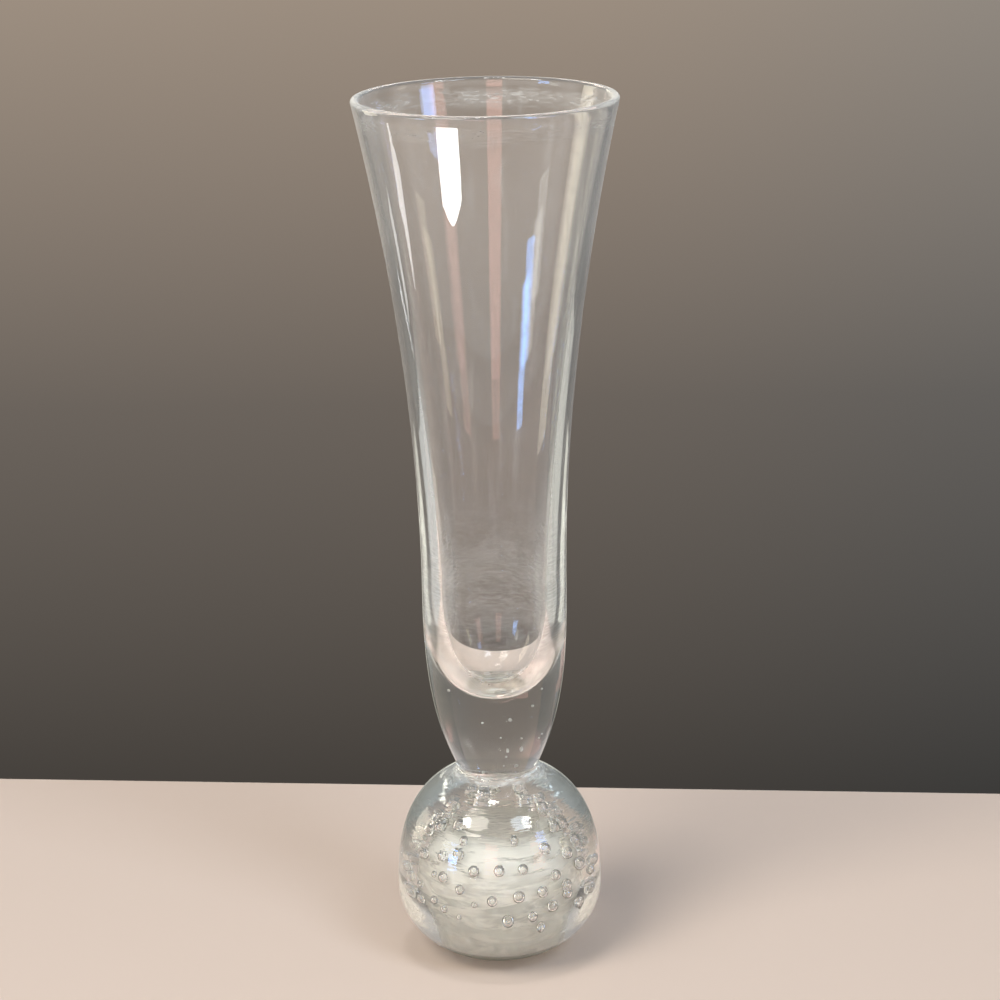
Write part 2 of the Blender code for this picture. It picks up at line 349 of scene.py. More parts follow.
class Desk:
    """Lays out one node tree."""

    def __init__(self, tree):
        self.tree = tree

    def feed(self, socket, value):
        """Link a term to a socket, or set the socket's own value."""
        if isinstance(value, Term):
            self.tree.links.new(value.socket, socket)
        else:
            socket.default_value = value

    def node(self, kind, settings=None, values=None, result=0):
        """Add a node with its settings, then the values or links of its sockets."""
        node = self.tree.nodes.new(kind)
        for name, setting in (settings or {}).items():
            if name == "stops":
                set_stops(node.color_ramp, setting)
            else:
                setattr(node, name, setting)
        for key, value in (values or {}).items():
            self.feed(node.inputs[key], value)
        if not node.outputs:
            return None
        return Term(self, node.outputs[result])

    def maths(self, operation, *numbers):
        """The Math node for one operation."""
        return self.node("ShaderNodeMath", {"operation": operation}, dict(enumerate(numbers)))

    def split(self, vector):
        """The three parts of a vector."""
        first = self.node("ShaderNodeSeparateXYZ", None, {0: vector})
        return [Term(self, socket) for socket in first.socket.node.outputs]

    def join(self, x, y, z):
        """A vector from its three parts."""
        return self.node("ShaderNodeCombineXYZ", None, {0: x, 1: y, 2: z})

    def ramp_up(self, value, start, end):
        """A smooth rise from 0 to 1 as a value goes from start to end."""
        settings = {"interpolation_type": "SMOOTHSTEP"}
        return self.node(
            "ShaderNodeMapRange", settings, {"Value": value, "From Min": start, "From Max": end}
        )

    def blend(self, share, first, second, way="MIX"):
        """One colour laid over another."""
        settings = {"data_type": "RGBA", "blend_type": way}
        return self.node("ShaderNodeMix", settings, {0: share, 6: first, 7: second}, 2)

    def cover(self, share, first, second):
        """One shader laid over another."""
        return self.node("ShaderNodeMixShader", None, {0: share, 1: first, 2: second})

    def zone(self, value, start, end):
        """A smooth rise from 0 to 1 over one stretch, and a smooth fall over the next."""
        return self.ramp_up(value, *start) * (1.0 - self.ramp_up(value, *end))

    def reach(self, x, y, z):
        """Length of a vector from its three parts."""
        settings = {"operation": "LENGTH"}
        return self.node("ShaderNodeVectorMath", settings, {0: self.join(x, y, z)}, "Value")

    def place(self):
        """Place of a point in the object's own coordinates."""
        return self.node("ShaderNodeTexCoord", None, None, "Object")

    def aslant(self):
        """How much aslant the skin is seen, from 0 to 1 at its edge."""
        return self.node("ShaderNodeLayerWeight", None, {"Blend": 0.5}, "Facing")


def set_stops(ramp, stops):
    """Give a colour ramp its stops, each a position and a colour."""
    while len(ramp.elements) < len(stops):
        ramp.elements.new(1.0)
    for element, (position, shade) in zip(ramp.elements, stops):
        element.position = position
        element.color = (*shade, 1.0)


def superellipse(turn, across, along, roundness):
    """A point at an angle on a rounded quarter outline, as (across, along)."""
    power = 2 / roundness
    return across * math.cos(turn) ** power, along * math.sin(turn) ** power


def shares(count):
    """Evenly spaced shares from 0 to 1, both included."""
    return [i / count for i in range(count + 1)]


def crown_height(shape, radius):
    """Height of the ball's crown at a radius."""
    fullness = 1 - (radius / shape.ball_radius) ** shape.crown_roundness
    return shape.equator_height + shape.crown_rise * fullness ** (1 / shape.crown_roundness)


def lip_start(shape):
    """Height above the joint at which the round lip starts."""
    return shape.top_height - shape.joint_height - shape.lip_thickness / 2


def collar_rise(shape):
    """Height above the joint at which the collar runs out on the foot."""
    return shape.collar_fillet / 3


def flare_share(shape, height):
    """How far up the flare a height above the joint lies, from 0 to 1 at the lip."""
    rise = max(height - shape.foot_length, 0.0)
    return min(rise / (lip_start(shape) - shape.foot_length), 1.0)


def outer_radius(shape, height):
    """Outer radius of the body at a height above the joint."""
    if height < shape.foot_length:
        hollow = (1 - height / shape.foot_length) ** shape.foot_swell
        return shape.column_radius - (shape.column_radius - shape.waist_radius) * hollow
    opening = shape.rim_radius - shape.column_radius
    return shape.column_radius + opening * flare_share(shape, height) ** shape.flare_power


def inner_radius(shape, height):
    """Radius of the bore at a height above the joint."""
    thinned = (1 - flare_share(shape, height)) ** shape.wall_taper
    wall = shape.lip_thickness + (shape.column_wall - shape.lip_thickness) * thinned
    return outer_radius(shape, height) - wall


def underside_rows(shape):
    """Ball from the middle of its ground base out and up to the equator."""
    share = (shape.base_radius / shape.ball_radius) ** shape.underside_roundness
    drop = (shape.equator_height - BASE_BEVEL) / (1 - share) ** (1 / shape.underside_roundness)
    start = math.acos((shape.base_radius / shape.ball_radius) ** (shape.underside_roundness / 2))
    rows = [(0.0, 0.0)]
    rows += [(shape.base_radius - inset * BASE_BEVEL, 0.0) for inset in (2, 1)]
    for t in shares(UNDERSIDE_ROWS):
        radius, fall = superellipse(
            start * (1 - t), shape.ball_radius, drop, shape.underside_roundness
        )
        rows.append((radius, shape.equator_height - fall))
    return rows


def crown_rows(shape):
    """Ball from above its equator up to the collar."""
    share = (shape.waist_radius + shape.collar_fillet) / shape.ball_radius
    end = math.acos(share ** (shape.crown_roundness / 2))
    rows = []
    for t in shares(CROWN_ROWS)[1:]:
        radius, rise = superellipse(
            end * t, shape.ball_radius, shape.crown_rise, shape.crown_roundness
        )
        rows.append((radius, shape.equator_height + rise))
    return rows


def collar_rows(shape):
    """Hollow curve from the crown up to the foot of the body."""
    outer = shape.waist_radius + shape.collar_fillet
    start = Vector((outer, crown_height(shape, outer)))
    bend = Vector((shape.waist_radius, crown_height(shape, shape.waist_radius)))
    rise = collar_rise(shape)
    end = Vector((outer_radius(shape, rise), shape.joint_height + rise))
    rows = []
    for t in shares(COLLAR_ROWS)[1:]:
        rows.append(tuple(start * (1 - t) ** 2 + bend * 2 * t * (1 - t) + end * t ** 2))
    return rows


def body_rows(shape):
    """Outer side of the body from the collar up to the lip."""
    start = collar_rise(shape)
    top = lip_start(shape)
    heights = [start + (shape.foot_length - start) * t for t in shares(FOOT_ROWS)[1:]]
    heights += [shape.foot_length + (top - shape.foot_length) * t for t in shares(FLARE_ROWS)[1:]]
    return [(outer_radius(shape, height), shape.joint_height + height) for height in heights]


def lip_rows(shape):
    """Round lip from outside to inside over the top."""
    half = shape.lip_thickness / 2
    centre = Vector((shape.rim_radius - half, shape.top_height - half))
    rows = []
    for t in shares(LIP_ROWS)[1:]:
        turn = math.pi * t
        rows.append((centre.x + half * math.cos(turn), centre.y + half * math.sin(turn)))
    return rows


def bore_rows(shape):
    """Inner side of the body from the lip down to the middle of its rounded floor."""
    end_height = shape.floor_thickness + shape.bore_end_length
    top = lip_start(shape)
    rows = []
    for t in shares(BORE_ROWS)[1:]:
        height = top + (end_height - top) * t
        rows.append((inner_radius(shape, height), shape.joint_height + height))
    for t in shares(BORE_END_ROWS)[1:]:
        radius, fall = superellipse(
            math.pi / 2 * t, rows[BORE_ROWS - 1][0], shape.bore_end_length, shape.bore_end_roundness
        )
        rows.append((radius, shape.joint_height + end_height - fall))
    rows[-1] = (0.0, rows[-1][1])
    return rows


def new_object(name, mesh):
    """A new object in the scene at the origin."""
    item = bpy.data.objects.new(name, mesh)
    bpy.context.scene.collection.objects.link(item)
    return item


def point_mesh(name, points):
    """A mesh of loose points joined in a line."""
    mesh = bpy.data.meshes.new(name)
    mesh.from_pydata(points, [(i, i + 1) for i in range(len(points) - 1)], [])
    return mesh


def mark_points(mesh, name, values):
    """Give each point of a mesh a number under a name."""
    mesh.attributes.new(name, "FLOAT", "POINT").data.foreach_set("value", values)


def new_form_tree(name, inputs):
    """A geometry tree with named inputs and a finish, and its desk and input terms."""
    tree = bpy.data.node_groups.new(name, "GeometryNodeTree")
    tree.interface.new_socket(name="Geometry", in_out="INPUT", socket_type="NodeSocketGeometry")
    tree.interface.new_socket(name="Geometry", in_out="OUTPUT", socket_type="NodeSocketGeometry")
    for label, kind in {**inputs, "Finish": "Material"}.items():
        tree.interface.new_socket(name=label, in_out="INPUT", socket_type=f"NodeSocket{kind}")
    desk = Desk(tree)
    start = desk.node("NodeGroupInput").socket.node
    terms = {socket.name: Term(desk, socket) for socket in start.outputs if socket.name}
    return desk, terms


def grow(name, mesh, desk, values):
    """Run a geometry tree on a mesh and keep the result as a plain mesh object."""
    item = new_object(name, mesh)
    modifier = item.modifiers.new("Form", "NODES")
    modifier.node_group = desk.tree
    sockets = {}
    for socket in desk.tree.interface.items_tree:
        if socket.in_out == "INPUT":
            sockets[socket.name] = socket.identifier
    for label, value in values.items():
        modifier[sockets[label]] = value
    graph = bpy.context.evaluated_depsgraph_get()
    plain = bpy.data.meshes.new_from_object(item.evaluated_get(graph), depsgraph=graph)
    item.modifiers.clear()
    item.data = plain
    plain.name = name
    return item


def turned_form():
    """Geometry tree that turns a half section round the Z axis and marks the bore and the lip."""
    inputs = {"Steps": "Int", "Lip From": "Int", "Bore From": "Int", "Unevenness": "Float"}
    desk, given = new_form_tree("turned_glass", inputs)
    section = given["Geometry"]
    count = desk.node("GeometryNodeAttributeDomainSize", None, {0: section})
    grid = desk.node(
        "GeometryNodeMeshGrid", None, {"Vertices X": given["Steps"] + 1, "Vertices Y": count}
    )
    index = desk.node("GeometryNodeInputIndex")
    row = index % count
    turn = (index - row) / count / given["Steps"] * math.tau
    place = desk.node("GeometryNodeInputPosition")
    sample = desk.node(
        "GeometryNodeSampleIndex", {"data_type": "FLOAT_VECTOR"}, {0: section, 1: place, 2: row}
    )
    radius, _, height = desk.split(sample)
    marks = {
        "bore": row > given["Bore From"],
        "lip": (row > given["Lip From"]) * (row < given["Bore From"] + 1),
    }
    glass = grid
    for name, share in marks.items():
        glass = desk.node(
            "GeometryNodeStoreNamedAttribute", None, {"Geometry": glass, "Name": name, "Value": share}
        )
    turned = desk.join(radius * desk.maths("COSINE", turn), radius * desk.maths("SINE", turn), height)
    glass = desk.node("GeometryNodeSetPosition", None, {"Geometry": glass, "Position": turned})
    glass = desk.node(
        "GeometryNodeMergeByDistance", None, {"Geometry": glass, "Distance": MERGE_DISTANCE}
    )
    waves = desk.node(
        "ShaderNodeTexNoise", None, {"Vector": place, "Scale": 38.0, "Detail": 1.5, "Roughness": 0.4}
    )
    fall = (waves + 0.5) * given["Unevenness"]
    x, y, z = desk.split(place)
    pull = 1.0 - fall / (desk.reach(x, y, 0.0) + AXIS_GUARD)
    moved = desk.join(x * pull, y * pull, z)
    glass = desk.node("GeometryNodeSetPosition", None, {"Geometry": glass, "Position": moved})
    finish_skin(desk, glass, given["Finish"])
    return desk


def point_mark(desk, name):
    """A number that the points carry under a name."""
    return desk.node("GeometryNodeInputNamedAttribute", {"data_type": "FLOAT"}, {"Name": name})


def random_number(desk, least, most, seed):
    """A random number for each point."""
    values = {2: least, 3: most, "Seed": seed}
    return desk.node("FunctionNodeRandomValue", {"data_type": "FLOAT"}, values, 1)


def set_hollows(desk, given, values):
    """Set a form on each point, make it real, face it inwards and give it its finish."""
    values = {"Points": given["Geometry"], **values}
    forms = desk.node("GeometryNodeInstanceOnPoints", None, values)
    real = desk.node("GeometryNodeRealizeInstances", None, {0: forms})
    finish_skin(desk, desk.node("GeometryNodeFlipFaces", None, {0: real}), given["Finish"])


def bubble_form():
    """Geometry tree that sets an upright bubble on each point, facing out from the layer's centre."""
    inputs = {"Layer Centre": "Float", "Half Size": "Vector", "Spread": "Float", "Seed": "Int"}
    desk, given = new_form_tree("bubbles", inputs)
    x, y, z = desk.split(desk.node("GeometryNodeInputPosition"))
    rise = z - given["Layer Centre"]
    lean = desk.maths("ARCCOSINE", rise / desk.reach(x, y, rise))
    longitude = desk.maths("ARCTAN2", y, x)
    rotation = desk.node("FunctionNodeEulerToRotation", None, {0: desk.join(0.0, lean, longitude)})
    stray = random_number(desk, 1.0 - given["Spread"], 1.0 + given["Spread"], given["Seed"])
    share = point_mark(desk, "size") * stray
    size = desk.node(
        "ShaderNodeVectorMath", {"operation": "SCALE"}, {0: given["Half Size"], "Scale": share}
    )
    ball = desk.node("GeometryNodeMeshUVSphere", None, {0: BUBBLE_SIDES, 1: BUBBLE_BANDS, 2: 1.0})
    set_hollows(desk, given, {"Instance": ball, "Rotation": rotation, "Scale": size})
    return desk


def veil_form():
    """Geometry tree for the round seam inside the ball, a little uneven, that carries its seeds and
    painted light and shade.
    """
    inputs = {"Radius": "Float", "Centre": "Float", "Unevenness": "Float"}
    desk, given = new_form_tree("seam_painted_light_and_shade", inputs)
    ball = desk.node("GeometryNodeMeshUVSphere", None, {0: VEIL_SIDES, 1: VEIL_BANDS, 2: 1.0})
    place = desk.node("GeometryNodeInputPosition")
    waves = desk.node("ShaderNodeTexNoise", None, {"Vector": place, "Scale": 2.2, "Detail": 1.0})
    radius = given["Radius"] - waves * given["Unevenness"]
    x, y, z = desk.split(place)
    moved = desk.join(x * radius, y * radius, z * radius + given["Centre"])
    veil = desk.node("GeometryNodeSetPosition", None, {"Geometry": ball, "Position": moved})
    finish_skin(desk, veil, given["Finish"])
    return desk


def seed_form():
    """Geometry tree that sets a small round seed on each point of a mesh."""
    desk, given = new_form_tree("seeds", {"Width": "Float", "Seed": "Int"})
    ball = desk.node("GeometryNodeMeshUVSphere", None, {0: SEED_SIDES, 1: SEED_BANDS, 2: 0.5})
    stray = random_number(desk, given["Width"] * 0.9, given["Width"] * 1.1, given["Seed"])
    size = stray * point_mark(desk, "size")
    drawn_out = desk.join(size, size, size * point_mark(desk, "stretch"))
    set_hollows(desk, given, {"Instance": ball, "Scale": drawn_out})
    return desk


def finish_skin(desk, surface, finish):
    """Smooth a surface and give it a finish at the tree's end."""
    smooth = desk.node("GeometryNodeSetShadeSmooth", None, {0: surface})
    real = desk.node("GeometryNodeRealizeInstances", None, {0: smooth})
    finished = desk.node("GeometryNodeSetMaterial", None, {"Geometry": real, "Material": finish})
    desk.node("NodeGroupOutput", None, {0: finished})


def new_finish(name):
    """A new material with an empty tree, and its desk."""
    material = bpy.data.materials.new(name)
    material.use_nodes = True
    material.node_tree.nodes.clear()
    return material, Desk(material.node_tree)


def film(desk, shade):
    """The dull shader of dried residue, fine wear, fine seeds, or painted light and painted shade."""
    return desk.node(
        "ShaderNodeBsdfPrincipled", None, {"Base Color": (*shade, 1.0), "Roughness": 0.9}
    )


def stretched_noise(desk, stretch, scale, detail):
    """Noise in the object's own coordinates, stretched along its axes."""
    mapped = desk.node("ShaderNodeMapping", None, {"Vector": desk.place(), "Scale": stretch})
    return desk.node(
        "ShaderNodeTexNoise", None, {"Vector": mapped, "Scale": scale, "Detail": detail}
    )


def pattern(desk, stretch, scale, detail, start, end):
    """Stretched noise that sets in between two of its values."""
    return desk.ramp_up(stretched_noise(desk, stretch, scale, detail), start, end)


def marked(desk, name):
    """Value of a mark left on the mesh."""
    return desk.node("ShaderNodeAttribute", {"attribute_name": name}, None, "Fac")


def finish_with(desk, shader, volume=None):
    """Send the shaders to the material's output."""
    values = {"Surface": shader}
    if volume:
        values["Volume"] = volume
    desk.node("ShaderNodeOutputMaterial", None, values)


def glass_haze(desk, look, height, bore):
    """How much residue and fine wear cover: more seen aslant, low in the bore and at the lip."""
    aslant = desk.aslant()
    edge = desk.ramp_up(aslant, *EDGE_ASLANT)
    low = desk.zone(height, *LOW_BORE)
    clouds = pattern(desk, *CLOUDS) * CLOUD_COVER + (1.0 - CLOUD_COVER)
    inside = edge * look.bore_haze * (low * LOW_BORE_COVER + BORE_COVER) * clouds + LEAST_BORE_COVER
    scratches = pattern(desk, *SCRATCHES)
    smudges = pattern(desk, *SMUDGES)
    wiped = (scratches * SCRATCH_SHARE + smudges * (1.0 - SCRATCH_SHARE)) * look.wipes
    wiped = wiped * (low * LOW_BORE_COVER + desk.zone(height, *UNDER_LIP) + WIPED_ELSEWHERE)
    wiped = wiped + pattern(desk, *DRAW_LINES) * DRAWN_COVER

    spared = 1.0 - desk.zone(height, *FOOT) * FOOT_SPARED
    outside = aslant ** 3.0 * spared * look.skin_haze + LEAST_SKIN_COVER
    flare = desk.ramp_up(height, *FLARE_STARTS) * FLARE_COVER
    column = desk.ramp_up(height, *COLUMN_STARTS) * COLUMN_COVER
    outside = outside + (flare + column) * aslant ** 2.0
    outside = outside + desk.zone(height, *FOOT_ROOT) * ROOT_COVER
    outside = outside + desk.zone(height, *COLLAR) * (scratches * COLLAR_SCRATCHES + COLLAR_COVER)

    lip = marked(desk, "lip") * LIP_COVER + marked(desk, "frost")
    return bore * (inside + wiped) + (1.0 - bore) * outside + lip


def painted_shade(desk, look, height, bore):
    """How much painted shade covers, seen aslant: bubbles' rims, the ball, a painted contact shadow
    at its sole, and round the bore's end.
    """
    aslant = desk.aslant()
    rim = marked(desk, "rim") * desk.ramp_up(aslant, *RIM_ASLANT) * look.rims
    on_ball = 1.0 - desk.ramp_up(height, *BALL_ENDS)
    shade = desk.ramp_up(height, *UPPER_BALL_STARTS) * UPPER_BALL_SHADE + BALL_SHADE
    ball = on_ball * desk.ramp_up(aslant, *BALL_ASLANT) * shade
    on_sole = 1.0 - desk.ramp_up(height, *SOLE_ENDS)
    sole = on_sole * desk.ramp_up(aslant, *SOLE_ASLANT) * SOLE_SHADE
    on_belt = desk.zone(height, *BORE_END_BELT) * (1.0 - bore)
    return rim + ball + sole + on_belt * desk.ramp_up(aslant, *EDGE_ASLANT) * BELT_SHADE


def vase_glass(look):
    """Clear soda glass with draw lines on the body, striae round the ball and a ground base."""
    material, desk = new_finish("vase_glass")
    _, _, height = desk.split(desk.place())
    bore = marked(desk, "bore")
    base = 1.0 - desk.ramp_up(height, *GROUND_BASE_ENDS)
    on_body = desk.ramp_up(height, *BODY_STARTS)
    on_crown = desk.ramp_up(height, *CROWN_STARTS)

    grain = stretched_noise(desk, *BASE_GRAIN)
    striae = stretched_noise(desk, *BALL_STRIAE)
    striae = striae * (1.0 - on_body) * (on_crown * CROWN_RELIEF + 1.0) * look.striae
    lines = stretched_noise(desk, *BODY_LINES) * on_body * BODY_RELIEF
    relief = lines + striae + grain * base * BASE_RELIEF
    values = {"Height": relief, "Strength": RELIEF_STRENGTH, "Distance": RELIEF_DEPTH}
    normal = desk.node("ShaderNodeBump", None, values)
    glass = desk.node(
        "ShaderNodeBsdfPrincipled",
        None,
        {
            "Base Color": (1.0, 1.0, 1.0, 1.0),
            "Roughness": base * (BASE_ROUGHNESS + grain * GRAIN_ROUGHNESS),
            "IOR": look.ior,
            "Transmission Weight": 1.0,
            "Normal": normal,
        },
    )
    haze = glass_haze(desk, look, height, bore)
    hazy = desk.cover(haze, glass, film(desk, look.residue))
    # Painted shade over the glass: darker bubble rims, the ball seen aslant, a painted contact shadow
    # at the sole, and a greyer belt round the bore's end
    with_painted_shade = desk.cover(painted_shade(desk, look, height, bore), hazy, film(desk, look.shade))
    passed = desk.node("ShaderNodeLightPath", None, None, "Glossy Depth") > CLEAR_AFTER
    body = desk.cover(passed, with_painted_shade, desk.node("ShaderNodeBsdfTransparent"))
    volume = desk.node(
        "ShaderNodeVolumeAbsorption", None, {"Color": (*look.tint, 1.0), "Density": look.density}
    )
    finish_with(desk, body, volume)
    return material


def leaned_noise(desk, rotation, stretch, scale, detail, distortion):
    """Noise whose stretch leans over, swirled a little."""
    mapped = desk.node(
        "ShaderNodeMapping", None, {"Vector": desk.place(), "Rotation": rotation, "Scale": stretch}
    )
    values = {"Vector": mapped, "Scale": scale, "Detail": detail, "Distortion": distortion}
    return desk.node("ShaderNodeTexNoise", None, values)


def seam_painted_light_and_shade(look):
    """Fine seeds in the ball's seam, drawn out into curved streaks, thickest round its shoulder. Pale
    seeds are partly painted light, brightening the ball; grey ones under the crown are painted shade.
    """
    material, desk = new_finish("seam_painted_light_and_shade")
    _, _, height = desk.split(desk.place())
    swirl = leaned_noise(desk, (0.12, -0.25, 0.0), (0.18, 0.18, 1.0), 620.0, 4.0, 0.6)
    fans = leaned_noise(desk, (-0.15, 0.4, 0.0), (0.22, 0.3, 1.0), 330.0, 3.0, 1.2)
    shoulder = desk.zone(height, *SEAM_SHOULDER)
    belly = 1.0 - desk.ramp_up(height, *SEAM_BELLY_ENDS)
    crown = desk.ramp_up(height, *SEAM_CROWN_STARTS)
    upper = desk.ramp_up(swirl, 0.28, 0.5) * shoulder + crown * SEAM_CROWN_COVER
    streaks = desk.ramp_up(fans, 0.42, 0.6) * STREAK_COVER + (1.0 - STREAK_COVER)
    broad = pattern(desk, *BROAD_STREAKS) * BROAD_COVER + (1.0 - BROAD_COVER)
    share = (upper + streaks * belly * broad) * (1.0 - desk.aslant() ** 3.0) * look.veil
    # Pale seeds are partly painted light; grey seeds under the crown are painted shade
    pale = desk.cover(crown, film(desk, look.seeds), film(desk, look.crown))
    finish_with(desk, desk.cover(share, desk.node("ShaderNodeBsdfTransparent"), pale))
    return material


class VASE_OT_turn_glass(bpy.types.Operator):
    """Turn the glass of ball and body in one, as the hot joint leaves it"""

    bl_idname = "vase.turn_glass"
    bl_label = "Turn the Glass"

    def execute(self, context):
        shape = context.scene.vase_shape
        outside = underside_rows(shape) + crown_rows(shape) + collar_rows(shape) + body_rows(shape)
        over_lip = outside + lip_rows(shape)
        rows = over_lip + bore_rows(shape)
        section = point_mesh("half_section", [(radius, 0.0, height) for radius, height in rows])
        grow(
            "vase_glass",
            section,
            turned_form(),
            {
                "Steps": TURN_STEPS,
                "Lip From": len(outside) - 1,
                "Bore From": len(over_lip) - 1,
                "Unevenness": shape.unevenness,
                "Finish": vase_glass(context.scene.glass_look),
            },
        )
        return {"FINISHED"}


def bubble_places():
    """Latitude, longitude and size of every bubble, front and back."""
    places = [*FRONT_BUBBLES, *FAR_BUBBLES]
    for latitude, first, last, count, size in BACK_RINGS:
        for share in shares(count - 1):
            places.append((latitude, first + (last - first) * share, size))
    return places


def on_layer(layer, latitude, longitude):
    """Point of the bubble layer at a latitude and longitude in degrees."""
    up = math.radians(latitude)
    around = math.radians(longitude)
    way = Vector((math.cos(up) * math.sin(around), -math.cos(up) * math.cos(around), math.sin(up)))
    return Vector((0.0, 0.0, layer.centre)) + way * layer.radius


class VASE_OT_trap_bubbles(bpy.types.Operator):
    """Set the bubbles in the ball, and the seam beneath them"""

    bl_idname = "vase.trap_bubbles"
    bl_label = "Trap the Bubbles"

    def execute(self, context):
        layer = context.scene.bubble_layer
        places = bubble_places()
        points = point_mesh("bubble_points", [on_layer(layer, *place[:2]) for place in places])
        mark_points(points, "size", [size for _, _, size in places])
        far = [float(abs(longitude) > FAR_FROM) for _, longitude, _ in places]
        mark_points(points, "frost", [FAR_FROST * share for share in far])
        # Near-side bubbles get painted shade round their rims
        mark_points(points, "rim", [1.0 - share for share in far])
        grow(
            "bubbles",
            points,
            bubble_form(),
            {
                "Layer Centre": layer.centre,
                "Half Size": (layer.height / 2, layer.width / 2, layer.depth / 2),
                "Spread": layer.spread,
                "Seed": layer.seed,
                "Finish": bpy.data.materials["vase_glass"],
            },
        )
        grow(
            "seam_painted_light_and_shade",
            bpy.data.meshes.new("seam"),
            veil_form(),
            {
                "Radius": layer.veil_radius,
                "Centre": layer.centre,
                "Unevenness": VEIL_UNEVENNESS,
                "Finish": seam_painted_light_and_shade(context.scene.glass_look),
            },
        )
        return {"FINISHED"}


class VASE_OT_scatter_seeds(bpy.types.Operator):
    """Set the stray seeds in the foot"""

    bl_idname = "vase.scatter_seeds"
    bl_label = "Scatter the Seeds"

    def execute(self, context):
        layer = context.scene.bubble_layer
        places = [[part / 1000 for part in place] for *place, _, _ in SEEDS]
        points = point_mesh("seed_points", places)
        mark_points(points, "stretch", [stretch for *_, stretch, _ in SEEDS])
        mark_points(points, "size", [size for *_, size in SEEDS])
        mark_points(points, "frost", [SEED_FROST] * len(SEEDS))
        grow(
            "seeds",
            points,
            seed_form(),
            {
                "Width": layer.seed_size,
                "Seed": layer.seed,
                "Finish": bpy.data.materials["vase_glass"],
            },
        )
        return {"FINISHED"}


class VASE_OT_fuse_glass(bpy.types.Operator):
    """Make bubbles, seeds and seam one with the turned glass, and set it in the frame"""

    bl_idname = "vase.fuse_glass"
    bl_label = "Fuse the Glass"

    def execute(self, context):
        vase = bpy.data.objects["vase_glass"]
        hollows = [bpy.data.objects[name] for name in ("bubbles", "seam_painted_light_and_shade", "seeds")]
        with context.temp_override(active_object=vase, selected_editable_objects=[vase, *hollows]):
            bpy.ops.object.join()
        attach(vase, "root")
        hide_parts("flared_body", "ball_casing", "bubble_core")
        return {"FINISHED"}


# Soft windows: azimuth and elevation in degrees seen from the vase, with 0 towards the camera and
# 90 to its right, then distance, width and height in metres, colour and brightness
WINDOWS = {
    "key_window": (-42.0, 47.0, 1.6, 0.90, 0.80, (1.0, 0.93, 0.83), 7.6),
    "ceiling_window": (-30.0, 81.0, 1.6, 0.30, 0.30, (1.0, 0.98, 0.95), 16.0),
    "cool_window": (38.0, 44.0, 1.6, 0.65, 0.60, (0.74, 0.86, 1.0), 7.5),
}
# Bright strips that show only as reflections, in the same order
STRIPS = {
    "blue_strip": (56.0, 19.0, 1.6, 0.36, 0.26, (0.36, 0.52, 1.0), 9.0),
    "cool_strip": (-55.0, 0.0, 1.4, 0.26, 0.30, (0.25, 0.48, 1.0), 17.0),
    "pale_strip": (-66.5, 5.0, 1.4, 0.25, 0.25, (1.0, 1.0, 0.95), 4.0),
    "warm_strip": (-9.0, 5.0, 1.4, 0.36, 0.80, (1.0, 0.50, 0.42), 3.0),
    "rosy_strip": (46.0, 6.0, 1.4, 0.34, 0.70, (1.0, 0.55, 0.48), 2.6),
    "straw_strip": (-115.0, 2.0, 1.4, 0.55, 0.60, (1.0, 0.92, 0.74), 4.2),
    "khaki_strip": (82.0, 0.0, 1.4, 0.26, 0.34, (1.0, 0.86, 0.62), 3.0),
    "back_card": (180.0, -22.0, 0.38, 0.19, 0.11, (1.0, 1.0, 0.86), 1.0),
    "right_card": (136.0, -22.6, 0.651, 0.60, 0.18, (1.0, 1.0, 0.90), 0.35),
    "left_card": (-136.0, -24.5, 0.658, 0.60, 0.14, (0.98, 1.0, 0.98), 0.4),
    "left_glint": (50.0, 45.0, 1.6, 0.24, 0.24, (1.0, 0.99, 0.95), 30.0),
    "right_glint": (-56.0, 45.0, 1.6, 0.24, 0.24, (1.0, 1.0, 1.0), 30.0),
}
# Strips that lie on the table: place across and behind, turn in degrees, length, depth, brightness
LOW_STRIPS = {
    "front_strip": (-0.2348, -0.3355, -28.5, 0.145, 0.0148, 26.0),
    "left_strip": (-0.5142, 0.0449, -55.0, 0.067, 0.050, 7.0),
    "far_left_strip": (-0.500, 0.238, -47.0, 0.080, 0.034, 4.0),
}
LIGHT_AIM = Vector((0.0, 0.0, 0.12))


def soft_light(name, outline, width, height, shade, brightness):
    """A flat light that the camera doesn't see itself."""
    lamp = bpy.data.lights.new(name, "AREA")
    lamp.shape = outline
    lamp.size = width
    lamp.size_y = height
    lamp.color = shade
    lamp.energy = brightness * math.pi * width * height
    item = new_object(name, lamp)
    item.visible_camera = False
    return item


def only_reflected(lamp):
    """Let a light show in reflections alone."""
    lamp.use_nodes = True
    lamp.node_tree.nodes.clear()
    desk = Desk(lamp.node_tree)
    reflected = desk.node("ShaderNodeLightPath", None, None, "Glossy Depth") > STRIP_SHOWS_AFTER
    glow = desk.node("ShaderNodeEmission", None, {"Strength": reflected})
    desk.node("ShaderNodeOutputLight", None, {"Surface": glow})


def facing_light(name, outline, azimuth, elevation, distance, *size_and_light):
    """A soft light at a distance from the vase, facing it."""
    item = soft_light(name, outline, *size_and_light)
    side = math.radians(azimuth)
    rise = math.radians(elevation)
    way = Vector((math.sin(side) * math.cos(rise), -math.cos(side) * math.cos(rise), math.sin(rise)))
    item.location = LIGHT_AIM + way * distance
    item.rotation_euler = way.to_track_quat("Z", "Y").to_euler()
    return item


def add_low_strip(name, across, behind, turn, width, height, brightness):
    """A strip that lies on the table, faces up and shows in the outer skin alone."""
    item = soft_light(name, "RECTANGLE", width, height, (1.0, 1.0, 1.0), brightness)
    item.location = (across, behind, LOW_STRIP_LIFT)
    item.rotation_euler = Euler((math.pi, 0.0, math.radians(turn)))
    item.visible_transmission = False


